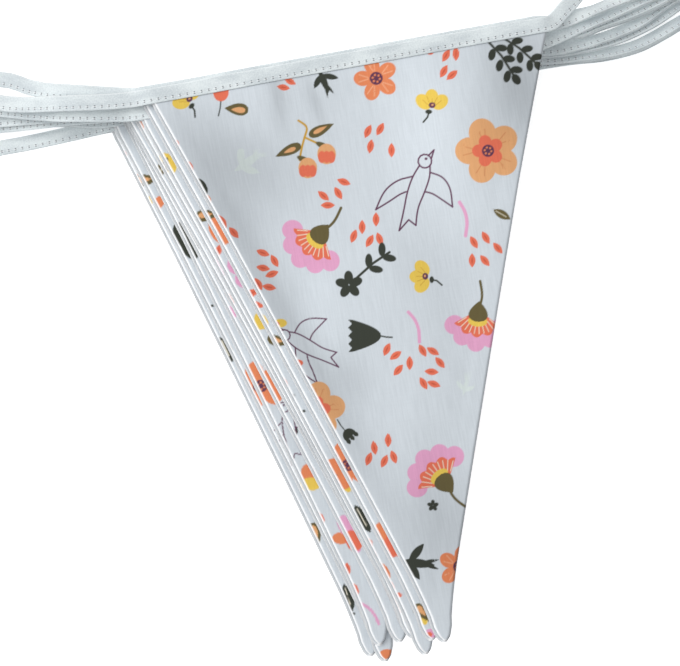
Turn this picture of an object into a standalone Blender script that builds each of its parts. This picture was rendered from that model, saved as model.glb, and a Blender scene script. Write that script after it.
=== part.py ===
"""A folded string of fabric bunting: nine double-sided cloth pennants on one binding tape.

The string is folded back and forth, so that its pennants lie on each other in a fanned stack on
the surface. Level 1 is the top pennant and level 9 the lowest. Metres, +Z up, and the origin lies
on the surface under the middle of the folded string.
"""

import math

import bmesh
import bpy
import numpy as np
from mathutils import Vector

UP = Vector((0.0, 0.0, 1.0))
MM = 0.001

# Pennant: a triangle with a blunt tip, two panels sewn at the sides
TOP_WIDTH = 0.160
DEPTH = 0.233
TIP_SIDEWAYS = -0.0033
PANEL_THICK = 0.0010
TONGUE_THICK = 0.0005
TONGUE_DEPTH = 0.0048
TONGUE_ENDS = 0.0008
PANEL_FULL = 0.0040
SIDE_ROLL = 0.0012
PIECE_GAP = 0.0003

# Half width of a pennant at each depth below the tape, in millimetres
OUTLINE = [  # depth, half width
    (0.0, 80.0),
    (55.0, 60.4),
    (110.0, 41.6),
    (165.0, 22.9),
    (205.0, 9.6),
    (214.0, 7.0),
    (222.5, 4.8),
    (227.0, 4.2),
    (231.0, 2.8),
    (233.0, 1.0),
]

# Where each pennant lies: its left corner at the tape's open edge, and how far it is turned
PLACES = [  # level, corner x, corner y, turn in degrees, depth added at the tip
    (1, -0.0752, 0.0912, 10.3, 0.0000),
    (2, -0.0799, 0.0924, 10.2, 0.0010),
    (3, -0.0806, 0.0858, 9.8, 0.0000),
    (4, -0.0860, 0.0909, 10.0, -0.0006),
    (5, -0.0894, 0.0907, 10.6, -0.0010),
    (6, -0.0888, 0.0875, 9.4, -0.0022),
    (7, -0.0918, 0.0910, 7.9, 0.0006),
    (8, -0.0945, 0.0857, 9.1, 0.0050),
    (9, -0.0960, 0.0842, 8.1, 0.0000),
]
LOWEST = len(PLACES)

# Binding tape: a strip folded lengthwise, its fold away from the pennants
TAPE_WIDTH = 0.0064
TAPE_WALL = 0.00045
SHUT_SLOT = 0.0003
OPEN_SLOT = 3 * PIECE_GAP + 2 * TONGUE_THICK
FOLD_STARTS = 0.0009
FOLD_SHOULDER = 0.0002
SHOULDER_SHARE = 0.7
FOLD_WALL = 0.00055
FOLD_HOLLOW = 0.0004
PAST_CORNER = 0.0010
SLOT_SHUTS_OVER = 0.005
LEAD = 0.010
NEAR_CORNER = 0.002
STATION_STEP = 0.010
HAIRPIN_STEPS = 5
MOST_CORNERS = 4

# Faces that close the folded strip at a free end, by the numbers of its section's corners
END_FACES = [(0, 1, 10, 11), (1, 2, 9, 10), (2, 3, 9), (3, 4, 9), (4, 5, 8, 9), (5, 6, 7, 8)]

# Open edge of the tape beside the pennants, from the corner outwards, in millimetres
LEFT_STRANDS = {
    1: [(-91.2, 89.3), (-113.0, 88.8), (-138.6, 90.5)],
    2: [(-113.6, 94.2), (-126.5, 96.7), (-139.2, 100.5)],
    3: [(-112.4, 85.7), (-139.7, 88.7)],
    4: [(-114.8, 89.3), (-140.2, 90.7)],
    5: [(-113.6, 86.8), (-140.8, 85.0)],
    6: [(-115.1, 85.3), (-141.3, 83.1)],
    7: [(-116.5, 88.7), (-141.9, 86.4)],
    8: [(-117.1, 86.0), (-142.4, 85.5)],
    9: [(-113.5, 80.3), (-130.3, 76.7), (-143.0, 74.4)],
}
RIGHT_STRANDS = {
    1: [(88.1, 122.9), (92.2, 127.6), (97.6, 133.7), (106.5, 148.0)],
    2: [(88.6, 122.0), (101.1, 127.0), (111.7, 131.8), (122.3, 135.8)],
    3: [(89.2, 117.5), (105.9, 125.1), (125.0, 134.0)],
    4: [(96.0, 120.0), (106.5, 123.9), (123.4, 130.2), (136.7, 137.1)],
    5: [(96.5, 120.0), (107.0, 123.8), (124.0, 130.0), (137.3, 136.8)],
    6: [(90.8, 114.8), (107.6, 119.0), (124.5, 126.2), (137.8, 135.6)],
    7: [(94.3, 114.8), (112.4, 118.6), (129.2, 125.9), (141.8, 134.3)],
    8: [(91.9, 112.4), (108.8, 113.7), (125.6, 118.1), (142.4, 127.4)],
    9: [(92.5, 111.9), (109.3, 113.3), (126.1, 117.6), (143.0, 126.9)],
}

# Each loop's hairpin, and the two free ends, in millimetres
LEFT_HAIRPINS = [  # upper level, x, y, heading in degrees
    (1, -169.5, 98.5, 177.0),
    (3, -175.0, 92.0, 177.0),
    (5, -180.0, 80.0, 187.0),
    (7, -184.0, 84.0, 182.0),
]
RIGHT_HAIRPINS = [
    (2, 163.0, 150.0, 24.0),
    (4, 156.3, 148.0, 28.0),
    (6, 157.0, 144.5, 33.0),
    (8, 158.0, 136.0, 29.0),
]
LEFT_TAIL = (-172.0, 69.0)
RIGHT_TAIL = (112.5, 163.0)

# The stack's own axes: along the pennants' tops, and down their middles
STACK_TURN = math.radians(9.5)
EDGE_TURN = math.radians(28.4)

# Height of one level over the next, in millimetres, at lines across the stack and along it
PITCH_DOWN = [  # distance down the stack, pitch
    (-94.0, 3.20),
    (-70.0, 2.95),
    (-45.0, 2.80),
    (-10.0, 2.75),
]
PITCH_ACROSS = [  # distance from the top pennant's left edge, pitch added by the soft folds
    (0.0, 0.00),
    (16.0, -0.10),
    (46.0, 0.05),
    (88.0, 0.00),
    (118.0, 0.03),
    (146.0, 0.00),
]
LEFT_DROP = (-86.0, -125.0, 1.2)  # where the strands start to sink, where they end, by how much
RIGHT_DROP = (104.0, 140.0, 1.0)
TILT = math.radians(40.0)
TILT_RISES = (108.0, 124.0)
TILT_FALLS = (9.0, 1.5)
TAIL_DROOPS = (136.0, 158.0)

COTTON = (0.70, 0.74, 0.80, 1.0)
COTTON_BACK = (0.66, 0.70, 0.76, 1.0)
TAPE_WHITE = (0.80, 0.84, 0.83, 1.0)


def smooth(value, start, end):
    """0 before start, 1 past end, and an easy rise between."""
    t = min(1.0, max(0.0, (value - start) / (end - start)))
    return t * t * (3.0 - 2.0 * t)


def along(x, y):
    return x * math.cos(STACK_TURN) + y * math.sin(STACK_TURN)


def down(x, y):
    return x * math.sin(STACK_TURN) - y * math.cos(STACK_TURN)


def from_edge(x, y):
    """Distance to the right of the line along the top pennant's left edge."""
    corner_x, corner_y = PLACES[0][1:3]
    return (x - corner_x) * math.cos(EDGE_TURN) + (y - corner_y) * math.sin(EDGE_TURN)


def pitch(x, y):
    """Height of one level over the next at this place. Every level uses it, so none meets another."""
    lines, heights = zip(*PITCH_DOWN)
    edges, folds = zip(*PITCH_ACROSS)
    height = np.interp(down(x, y) / MM, lines, heights)
    height += np.interp(from_edge(x, y) / MM, edges, folds)
    for start, end, drop in (LEFT_DROP, RIGHT_DROP):
        height -= drop * smooth(along(x, y) / MM, start, end)
    return float(height) * MM


def base(level, x, y):
    return (LOWEST - level) * pitch(x, y)


def material(name, colour, roughness):
    made = bpy.data.materials.new(name)
    made.use_nodes = True
    shader = made.node_tree.nodes["Principled BSDF"]
    shader.inputs["Base Color"].default_value = colour
    shader.inputs["Roughness"].default_value = roughness
    shader.inputs["Metallic"].default_value = 0.0
    return made


def object_from(bm, name, finish):
    bmesh.ops.recalc_face_normals(bm, faces=bm.faces)
    mesh = bpy.data.meshes.new(name)
    bm.to_mesh(mesh)
    bm.free()
    mesh.materials.append(finish)
    made = bpy.data.objects.new(name, mesh)
    bpy.context.scene.collection.objects.link(made)
    return made


class Place:
    """One pennant's place: sideways runs along its top from the left corner, depth runs down it."""

    def __init__(self, level, corner_x, corner_y, turn, extra):
        turn = math.radians(turn)
        self.level = level
        self.extra = extra
        self.corner = Vector((corner_x, corner_y, 0.0))
        self.across = Vector((math.cos(turn), math.sin(turn), 0.0))
        self.down = Vector((math.sin(turn), -math.cos(turn), 0.0))

    def point(self, sideways, depth):
        return self.corner + self.across * sideways + self.down * depth

    def depth_of(self, point):
        return (point - self.corner).dot(self.down)


def outline(place, left_inset, tip_inset):
    """The panel's outline, as (sideways, depth), from the top left corner down and round."""
    stretch = 1.0 + (place.extra - tip_inset) / DEPTH
    rows = [(-TONGUE_DEPTH, TOP_WIDTH / 2)]
    rows += [(depth * MM * stretch, half * MM) for depth, half in OUTLINE]
    left, right = [], []
    for depth, half in rows:
        middle = TOP_WIDTH / 2 + TIP_SIDEWAYS * max(0.0, depth) / DEPTH
        inset = min(left_inset, half)
        left.append((middle - half + inset, depth))
        right.append((middle + half, depth))
    return left + right[::-1]


def lower_and_upper(is_front, depth):
    """Height of a panel's two faces over its level's base: a thin tongue in the tape, then full."""
    tongue = TAPE_WALL + PIECE_GAP
    body = 0.0
    if is_front:
        tongue += TONGUE_THICK + PIECE_GAP
        body += PANEL_THICK + PIECE_GAP
    t = min(1.0, max(0.0, (depth - TONGUE_ENDS) / (PANEL_FULL - TONGUE_ENDS)))
    lower = tongue + (body - tongue) * t
    return lower, lower + TONGUE_THICK + (PANEL_THICK - TONGUE_THICK) * t


def crease_lines(place):
    """Every line along which the level's height may bend, as (a point on it, its normal)."""
    lines = [(place.point(0.0, depth), place.down) for depth in (TONGUE_ENDS, PANEL_FULL)]
    stack_down = Vector((math.sin(STACK_TURN), -math.cos(STACK_TURN), 0.0))
    lines += [(stack_down * line * MM, stack_down) for line, _ in PITCH_DOWN]
    edge_normal = Vector((math.cos(EDGE_TURN), math.sin(EDGE_TURN), 0.0))
    top_corner = Vector((PLACES[0][1], PLACES[0][2], 0.0))
    lines += [(top_corner + edge_normal * line * MM, edge_normal) for line, _ in PITCH_ACROSS]
    return lines


def panel(place, is_front, finish):
    """One cloth panel: its flat outline, creased along the stack's soft folds and given its thickness."""
    bm = bmesh.new()
    inset = SIDE_ROLL if is_front else 0.0
    corners = [bm.verts.new(place.point(*row)) for row in outline(place, inset, inset / 2)]
    bm.faces.new(corners)
    for point, normal in crease_lines(place):
        whole = bm.verts[:] + bm.edges[:] + bm.faces[:]
        bmesh.ops.bisect_plane(bm, geom=whole, dist=1e-6, plane_co=point, plane_no=normal)
    lower_verts = bm.verts[:]
    raised = bmesh.ops.extrude_face_region(bm, geom=bm.faces[:])["geom"]
    upper_verts = [item for item in raised if isinstance(item, bmesh.types.BMVert)]
    for side, verts in enumerate((lower_verts, upper_verts)):
        for vert in verts:
            faces = lower_and_upper(is_front, place.depth_of(vert.co))
            vert.co.z = base(place.level, vert.co.x, vert.co.y) + faces[side]
    many_sided = [face for face in bm.faces if len(face.verts) > MOST_CORNERS]
    bmesh.ops.triangulate(bm, faces=many_sided)
    name = f"pennant_{place.level}_{'front' if is_front else 'back'}"
    return object_from(bm, name, finish)


def curve_through(points, step):
    """Points about a step apart on a smooth curve. The first point only gives it its heading."""
    points = [Vector((x, y, 0.0)) for x, y in points]
    points.append(2 * points[-1] - points[-2])
    made = [points[1]]
    for before, start, end, after in zip(points, points[1:], points[2:], points[3:]):
        count = max(1, math.ceil((end - start).length / step))
        for n in range(1, count + 1):
            t = n / count
            made.append(
                0.5
                * (
                    2 * start
                    + (end - before) * t
                    + (2 * before - 5 * start + 4 * end - after) * t**2
                    + (3 * start - before - 3 * end + after) * t**3
                )
            )
    return made


class Station:
    """One section of the tape: where its open edge is, its heading, and how wide its slot stands."""

    def __init__(self, point, heading, width_way, face_way, slot):
        self.point = point
        self.heading = heading
        self.width_way = width_way
        self.face_way = face_way
        self.slot = slot

    def section(self):
        """The folded strip's U, from the open edge round the fold and back."""
        inner = self.slot / 2
        outer = inner + TAPE_WALL
        shoulder = (TAPE_WIDTH - FOLD_SHOULDER, SHOULDER_SHARE * outer)
        half = [(0.0, outer), (TAPE_WIDTH - FOLD_STARTS, outer), shoulder]
        shape = half + [(TAPE_WIDTH, 0.0)] + [(w, -n) for w, n in half[::-1]]
        hollow_ends = TAPE_WIDTH - FOLD_WALL
        shape += [(0.0, -inner), (hollow_ends - FOLD_HOLLOW, -inner), (hollow_ends, 0.0)]
        shape += [(hollow_ends - FOLD_HOLLOW, inner), (0.0, inner)]
        return [self.point + self.width_way * w + self.face_way * n for w, n in shape]


def upper_side(heading):
    """The plan direction across the tape, towards its fold."""
    way = Vector((-heading.y, heading.x, 0.0))
    to_top = Vector((-math.sin(STACK_TURN), math.cos(STACK_TURN), 0.0))
    return way if way.dot(to_top) > 0 else -way


def station(level, point, heading, slot, tilt=0.0, droop=1.0):
    face = 1.0 if level % 2 else -1.0
    side = upper_side(heading)
    width_way = side * math.cos(tilt) - UP * math.sin(tilt)
    face_way = (UP * math.cos(tilt) + side * math.sin(tilt)) * face
    height = base(level, point.x, point.y) * droop + slot / 2 + TAPE_WALL
    height += TAPE_WIDTH * math.sin(tilt)
    place = Vector((point.x, point.y, height))
    return Station(place, heading, width_way, face_way, slot)


def on_pennant(place):
    """Stations over one pennant's top, left to right, at the lines where its height bends."""
    edge_normal = Vector((math.cos(EDGE_TURN), math.sin(EDGE_TURN), 0.0))
    slope = place.across.dot(edge_normal)
    start = from_edge(place.corner.x, place.corner.y)
    stops = [(line * MM - start) / slope for line, _ in PITCH_ACROSS]
    stops = [stop for stop in stops if NEAR_CORNER < stop < TOP_WIDTH - NEAR_CORNER]
    stops = [-PAST_CORNER, *stops, TOP_WIDTH + PAST_CORNER]
    return [station(place.level, place.point(stop, 0.0), place.across, OPEN_SLOT) for stop in stops]


def strand(place, is_left, hairpin, tail):
    """Stations beside the pennant, from its corner out to the hairpin or the free end."""
    level = place.level
    if is_left:
        inner = place.point(LEAD, 0.0)
        corner = place.point(-PAST_CORNER, 0.0)
        route = LEFT_STRANDS[level]
    else:
        inner = place.point(TOP_WIDTH - LEAD, 0.0)
        corner = place.point(TOP_WIDTH + PAST_CORNER, 0.0)
        route = RIGHT_STRANDS[level]
    points = [inner.xy, corner.xy] + [(x * MM, y * MM) for x, y in route]
    if hairpin:
        end, heading = hairpin
        points += [(end - heading * LEAD).xy, end.xy]
    else:
        points.append((tail[0] * MM, tail[1] * MM))
    made = []
    spots = curve_through(points, STATION_STEP)
    travelled = 0.0
    for before, spot, after in zip(spots, spots[1:], spots[2:] + [2 * spots[-1] - spots[-2]]):
        travelled += (spot - before).length
        heading = (after - before).normalized()
        shut = min(1.0, travelled / SLOT_SHUTS_OVER)
        slot = OPEN_SLOT + (SHUT_SLOT - OPEN_SLOT) * shut
        tilt, droop = 0.0, 1.0
        if not is_left and hairpin:
            left_over = (hairpin[0] - spot).length / MM
            tilt = TILT * smooth(along(spot.x, spot.y) / MM, *TILT_RISES)
            tilt *= 1.0 - smooth(-left_over, -TILT_FALLS[0], -TILT_FALLS[1])
        elif not is_left:
            droop = 1.0 - smooth(spot.y / MM, *TAIL_DROOPS)
        made.append(station(level, spot, heading, slot, tilt, droop))
    return made


def hairpin_turn(upper, lower):
    """Stations round the loop's end, from the upper level's last station to the lower one's."""
    middle = (upper.point + lower.point) / 2
    radius = (upper.point.z - lower.point.z) / 2
    made = []
    for step in range(1, HAIRPIN_STEPS):
        angle = math.pi * step / HAIRPIN_STEPS
        out = upper.heading * math.sin(angle) + UP * math.cos(angle)
        face_way = out * upper.face_way.z
        point = middle + out * radius
        made.append(Station(point, upper.heading, upper.width_way, face_way, upper.slot))
    return made


def tape_route(places):
    """All stations from the right free end, level by level, to the left free end."""
    ends = {}
    for rows, is_left in ((LEFT_HAIRPINS, True), (RIGHT_HAIRPINS, False)):
        for level, x, y, heading in rows:
            way = Vector((math.cos(math.radians(heading)), math.sin(math.radians(heading)), 0.0))
            for each in (level, level + 1):
                ends[each, is_left] = (Vector((x * MM, y * MM, 0.0)), way)
    route = []
    for place in places:
        level = place.level
        left = strand(place, True, ends.get((level, True)), LEFT_TAIL)
        right = strand(place, False, ends.get((level, False)), RIGHT_TAIL)
        whole = left[::-1] + on_pennant(place) + right
        if level % 2:
            whole.reverse()
        if route:
            route += hairpin_turn(route[-1], whole[0])
        route += whole
    return route


def close_end(bm, ring):
    for corners in END_FACES:
        bm.faces.new([ring[corner] for corner in corners])


def binding(places, finish):
    """The folded strip: its U section carried along the route by extruding it station by station."""
    bm = bmesh.new()
    route = tape_route(places)
    ring = [bm.verts.new(point) for point in route[0].section()]
    close_end(bm, ring)
    edges = [bm.edges.get((a, b)) for a, b in zip(ring, ring[1:] + ring[:1])]
    for stop in route[1:]:
        order = {vert: number for number, vert in enumerate(ring)}
        grown = bmesh.ops.extrude_edge_only(bm, edges=edges)["geom"]
        edges = [item for item in grown if isinstance(item, bmesh.types.BMEdge)]
        edges = [edge for edge in edges if not order.keys() & set(edge.verts)]
        fresh = [None] * len(ring)
        for vert in {vert for edge in edges for vert in edge.verts}:
            neighbours = [edge.other_vert(vert) for edge in vert.link_edges]
            behind = next(other for other in neighbours if other in order)
            fresh[order[behind]] = vert
        for vert, point in zip(fresh, stop.section()):
            vert.co = point
        ring = fresh
    close_end(bm, ring)
    bmesh.ops.triangulate(bm, faces=bm.faces[:])
    return object_from(bm, "binding", finish)


def centre_on_origin(pieces):
    """Moves every mesh, so that the middle of the whole lies over the origin."""
    corners = [vert.co for piece in pieces for vert in piece.data.vertices]
    middle_x = (min(co.x for co in corners) + max(co.x for co in corners)) / 2
    middle_y = (min(co.y for co in corners) + max(co.y for co in corners)) / 2
    for piece in pieces:
        for vert in piece.data.vertices:
            vert.co.x -= middle_x
            vert.co.y -= middle_y


for leftover in list(bpy.data.objects):
    bpy.data.objects.remove(leftover, do_unlink=True)

places = [Place(*row) for row in PLACES]
front_cloth = material("printed cotton", COTTON, 0.85)
back_cloth = material("printed cotton, back panel", COTTON_BACK, 0.85)
tape_cloth = material("white binding tape", TAPE_WHITE, 0.80)
pieces = [binding(places, tape_cloth)]
for place in places:
    pieces.append(panel(place, True, front_cloth))
    pieces.append(panel(place, False, back_cloth))
centre_on_origin(pieces)
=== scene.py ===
import math

import bmesh
import bpy
import numpy as np
from mathutils import Matrix, Vector


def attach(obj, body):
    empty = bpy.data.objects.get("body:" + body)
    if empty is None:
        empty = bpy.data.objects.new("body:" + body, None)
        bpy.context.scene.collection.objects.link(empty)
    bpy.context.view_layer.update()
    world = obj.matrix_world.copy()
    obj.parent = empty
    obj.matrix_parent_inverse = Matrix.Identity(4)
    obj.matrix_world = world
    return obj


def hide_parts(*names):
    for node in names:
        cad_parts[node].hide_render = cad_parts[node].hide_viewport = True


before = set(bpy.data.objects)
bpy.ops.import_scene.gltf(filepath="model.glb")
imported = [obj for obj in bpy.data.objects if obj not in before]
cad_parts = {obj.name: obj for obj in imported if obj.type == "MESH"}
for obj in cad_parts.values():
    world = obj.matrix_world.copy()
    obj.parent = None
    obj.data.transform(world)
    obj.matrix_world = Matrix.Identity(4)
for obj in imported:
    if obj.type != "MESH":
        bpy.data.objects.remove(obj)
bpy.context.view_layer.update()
MM = 0.001

# The view and the room: a camera straight above the stack, as in the photo, a white table top,
# a broad window light from the left and a softer one from above.

PICTURE_CENTRE = (10.576, -13.946)  # mm, in the object's frame
CAMERA_HEIGHT = 525.6
SEEN_WIDTH = 272.0  # mm across the picture, at the top pennant
TO_TOP = 500.0
SENSOR = 36.0
FLOOR_SIZE = 3.0
FLOOR_DROP = 0.0002
FLOOR_GLOW = 0.45
FLOOR_WHITES = ((0.97, 0.97, 0.97, 1.0), (0.985, 0.985, 0.985, 1.0))
LAMPS = [  # name, x, y, z, width, power
    ("window_light", -1.00, 0.20, 0.95, 1.2, 14.2),
    ("top_light", 0.25, 0.10, 1.60, 1.6, 9.4),
]
ROOM_COLOUR = (0.98, 0.99, 1.0, 1.0)
ROOM_STRENGTH = 0.40


def in_scene(x, y, z):
    """A place in millimetres from the picture's middle, in the scene's metres."""
    return ((x + PICTURE_CENTRE[0]) * MM, (y + PICTURE_CENTRE[1]) * MM, z * MM)


camera = bpy.data.objects.new("camera", bpy.data.cameras.new("camera"))
camera.data.sensor_width = SENSOR
camera.data.lens = SENSOR * TO_TOP / SEEN_WIDTH
camera.location = in_scene(0.0, 0.0, CAMERA_HEIGHT)
bpy.context.scene.collection.objects.link(camera)
bpy.context.scene.camera = camera
bpy.context.scene.view_settings.view_transform = "Standard"


class Field:
    """A socket's value in a material, so that shader maths reads as plain expressions."""

    def __init__(self, tree, socket):
        self.tree = tree
        self.socket = socket

    def node(self, kind, settings, *values):
        made = self.tree.nodes.new(kind)
        for name, value in settings.items():
            setattr(made, name, value)
        for number, value in enumerate(values):
            if isinstance(value, Field):
                self.tree.links.new(value.socket, made.inputs[number])
            elif value is not None:
                made.inputs[number].default_value = value
        return made

    def maths(self, operation, *values):
        made = self.node("ShaderNodeMath", {"operation": operation}, *values)
        return Field(self.tree, made.outputs[0])

    def __add__(self, other):
        return self.maths("ADD", self, other)

    def __mul__(self, other):
        return self.maths("MULTIPLY", self, other)

    def __sub__(self, other):
        return self.maths("SUBTRACT", self, other)

    def __rsub__(self, other):
        return self.maths("SUBTRACT", other, self)

    def apart(self, middle):
        """How far the value is from a middle one."""
        return self.maths("ABSOLUTE", self - middle)

    def fraction(self):
        return self.maths("FRACT", self)

    __radd__ = __add__
    __rmul__ = __mul__

    def between(self, low, high):
        """0 at the low value and 1 at the high one, smoothly between, and held past them."""
        settings = {"interpolation_type": "SMOOTHSTEP"}
        made = self.node("ShaderNodeMapRange", settings, self, low, high, 0.0, 1.0)
        return Field(self.tree, made.outputs[0])


def linear(red, green, blue):
    """A colour given as the screen's 0 to 255 values, as the shader's linear ones."""
    return tuple((max(0.0, value) / 255.0) ** 2.2 for value in (red, green, blue))


def new_material(name):
    """A material, its shader node, and a Field to start from."""
    made = bpy.data.materials.new(name)
    made.use_nodes = True
    shader = made.node_tree.nodes["Principled BSDF"]
    shader.inputs["Metallic"].default_value = 0.0
    return made, shader, Field(made.node_tree, None)


def to_shader(start, shader, name, value):
    start.tree.links.new(value.socket if isinstance(value, Field) else value, shader.inputs[name])


def noise(start, place, scale, detail):
    """Soft noise from 0 to 1 over a place."""
    made = start.node("ShaderNodeTexNoise", {}, place, None, scale, detail)
    return Field(start.tree, made.outputs[0])


def stretched(start, source, scale):
    """A place with each of its axes scaled."""
    made = start.node("ShaderNodeMapping", {}, source, None, None, scale)
    return Field(start.tree, made.outputs[0])


def tinted(start, factor, first, second):
    """Two colours mixed."""
    made = start.node("ShaderNodeMix", {"data_type": "RGBA"})
    for number, value in ((0, factor), (6, first), (7, second)):
        if isinstance(value, Field):
            start.tree.links.new(value.socket, made.inputs[number])
        else:
            made.inputs[number].default_value = value
    return Field(start.tree, made.outputs[2])


def raised(start, height, strength, distance):
    """A bump's normal."""
    made = start.node("ShaderNodeBump", {}, strength, distance, None, height)
    return made.outputs[0]


def object_place(start):
    made = start.node("ShaderNodeTexCoord", {})
    return Field(start.tree, made.outputs["Object"])


def along_cloth(start):
    """The cloth's own place on it, in metres: its UV map."""
    made = start.node("ShaderNodeUVMap", {"uv_map": "cloth"})
    return Field(start.tree, made.outputs[0])


def smooth_object(bm, name, finish):
    """The bmesh as a smooth object of that name, with its finish on."""
    mesh = bpy.data.meshes.new(name)
    bm.to_mesh(mesh)
    bm.free()
    mesh.shade_smooth()
    mesh.materials.append(finish)
    made = bpy.data.objects.new(name, mesh)
    bpy.context.scene.collection.objects.link(made)
    return made


floor_paint, shader, start = new_material("white table top")
shader.inputs["Roughness"].default_value = 0.9
shader.inputs["Specular IOR Level"].default_value = 0.1
shader.inputs["Emission Color"].default_value = (1.0, 1.0, 1.0, 1.0)
shader.inputs["Emission Strength"].default_value = FLOOR_GLOW
grain = noise(start, object_place(start), 4.0, 2.0)
to_shader(start, shader, "Base Color", tinted(start, grain, *FLOOR_WHITES))
bm = bmesh.new()
bmesh.ops.create_grid(bm, x_segments=2, y_segments=2, size=FLOOR_SIZE)
bmesh.ops.translate(bm, verts=bm.verts, vec=(0.0, 0.0, -FLOOR_DROP))
smooth_object(bm, "table_top", floor_paint)

for name, x, y, z, width, power in LAMPS:
    lamp = bpy.data.lights.new(name, "AREA")
    lamp.size = width
    lamp.energy = power
    placed = bpy.data.objects.new(name, lamp)
    placed.location = (x, y, z)
    placed.rotation_euler = Vector((x, y, z)).to_track_quat("Z", "Y").to_euler()
    bpy.context.scene.collection.objects.link(placed)
world = bpy.data.worlds.new("room")
world.use_nodes = True
sky = world.node_tree.nodes["Background"]
sky.inputs["Color"].default_value = ROOM_COLOUR
sky.inputs["Strength"].default_value = ROOM_STRENGTH
bpy.context.scene.world = world

# Pennants: each is two triangles of printed cotton, sewn at the sides, turned and pressed, so
# that its sides are soft rolled rims with a seam between. Their raw tops run up into the tape.
# Nine lie on each other; level 1 is the top one. Lengths in millimetres.

TOP_WIDTH = 160.0
DEPTH = 233.0
TIP_SIDEWAYS = -3.3
TONGUE_DEPTH = 4.8
TONGUE_ENDS = 0.8
PANEL_FULL = 4.0
FRONT_INSET = 1.2
PITCH_HEIGHT = {"front": (1.3, 2.3), "back": (0.0, 1.0)}
TONGUE_HEIGHT = {"front": (1.55, 2.05), "back": (0.75, 1.25)}
CLOTH = 0.45
RIM = 1.3
RIM_DROP = 0.92
SEAM_WIDTH = 6.5
SEAM_RISE = 0.16
RIM_COLUMNS = [0.0, 0.12, 0.35, 0.7, 1.1, 1.6, 2.4, 3.6, 5.0, 6.2, 7.2, 8.5, 10.5]
RIMS_SHARE = 1.15  # the two rims' share of a narrow place near the tip
MIDDLE_COLUMNS = {True: 46, False: 14}  # on the panel that shows, and on the others
ROW_STEP = {True: 2.4, False: 4.0}
BULGE = 0.06
LEAST_CLOTH = 0.05
CREASE_FADES = 8.0
OUTLINE = [  # depth, half width
    (-4.8, 80.0), (0.0, 80.0), (55.0, 60.4), (110.0, 41.6), (165.0, 22.9), (205.0, 9.6),
    (214.0, 7.0), (222.5, 4.8), (227.0, 4.2), (231.0, 2.8), (233.0, 1.0),
]
PLACES = {  # level: corner x, corner y, turn in degrees, depth added at the tip
    1: (-75.2, 91.2, 10.3, 0.0),
    2: (-79.9, 92.4, 10.2, 1.0),
    3: (-80.6, 85.8, 9.8, 0.0),
    4: (-86.0, 90.9, 10.0, -0.6),
    5: (-89.4, 90.7, 10.6, -1.0),
    6: (-88.8, 87.5, 9.4, -2.2),
    7: (-91.8, 91.0, 7.9, 0.6),
    8: (-94.5, 85.7, 9.1, 5.0),
    9: (-96.0, 84.2, 8.1, 0.0),
}
LOWEST = len(PLACES)
STACK_TURN = 9.5
EDGE_TURN = 28.4
PITCH_DOWN = [(-94.0, 3.20), (-70.0, 2.95), (-45.0, 2.80), (-10.0, 2.75)]
PITCH_ACROSS = [(0.0, 0.0), (16.0, -0.10), (46.0, 0.05), (88.0, 0.0), (118.0, 0.03), (146.0, 0.0)]
LEFT_DROP = (-86.0, -125.0, 1.2)
RIGHT_DROP = (104.0, 140.0, 1.0)
SOFTEN = (-7.0, -3.5, 0.0, 3.5, 7.0)

# Soft creases of the top pennant: from x, y to x, y, half width, height
CREASES = [
    (-62.0, 66.0, 20.0, -80.0, 10.0, -0.42), (-30.0, 100.0, 0.0, 20.0, 9.0, 0.30),
    (45.0, 106.0, 62.0, 60.0, 10.0, -0.35), (20.0, 100.0, 34.0, -20.0, 11.0, 0.25),
    (-50.0, 84.0, 40.0, 100.0, 5.0, -0.22),
]

# Print: the cloth's ground and the inks
GROUND = linear(205, 212, 218)
CORAL = linear(224, 112, 86)
DEEP_CORAL = linear(196, 88, 68)
CHARCOAL = linear(58, 62, 54)
OLIVE = linear(100, 90, 58)
YELLOW = linear(228, 194, 86)
DEEP_YELLOW = linear(196, 152, 62)
ORANGE = linear(224, 132, 90)
PALE_ORANGE = linear(236, 168, 132)
PEACH = linear(222, 164, 114)
DEEP_PEACH = linear(204, 136, 92)
PINK = linear(222, 160, 194)
PLUM = linear(96, 58, 82)
CREAM = linear(234, 226, 206)
PALE = linear(212, 222, 220)
# The colour of the painted highlight on the rolled rims.
RIM_HIGHLIGHT = linear(250, 251, 252)


def direction(degrees):
    """An angle's cosine and sine."""
    angle = math.radians(degrees)
    return math.cos(angle), math.sin(angle)


def softened(value, table):
    """A table read along its first column, with its bends made soft."""
    steps, heights = zip(*table)
    return sum(np.interp(value + shift, steps, heights) for shift in SOFTEN) / len(SOFTEN)


def eased(value, start, end):
    """0 before start, 1 past end, and an easy rise between."""
    t = np.clip((value - start) / (end - start), 0.0, 1.0)
    return t * t * (3.0 - 2.0 * t)


def base_height(level, x, y):
    """Where this level starts, over the table top. Every level follows the same soft folds."""
    c, s = direction(STACK_TURN)
    along, down = x * c + y * s, x * s - y * c
    corner_x, corner_y = PLACES[1][:2]
    c, s = direction(EDGE_TURN)
    from_edge = (x - corner_x) * c + (y - corner_y) * s
    pitch = softened(down, PITCH_DOWN) + softened(from_edge, PITCH_ACROSS)
    for begins, ends, drop in (LEFT_DROP, RIGHT_DROP):
        pitch = pitch - drop * eased(along, begins, ends)
    return (LOWEST - level) * pitch


def from_segment(x, y, x0, y0, x1, y1):
    """Distance from a straight piece of line."""
    run = (x1 - x0) ** 2 + (y1 - y0) ** 2
    t = np.clip(((x - x0) * (x1 - x0) + (y - y0) * (y1 - y0)) / run, 0.0, 1.0)
    return np.hypot(x - x0 - t * (x1 - x0), y - y0 - t * (y1 - y0))


def creased(x, y):
    """The top pennant's own soft creases."""
    height = np.zeros_like(x)
    for x0, y0, x1, y1, width, rise in CREASES:
        away = from_segment(x, y, x0, y0, x1, y1)
        height += rise * np.exp(-((away / width) ** 2))
    return height


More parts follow.
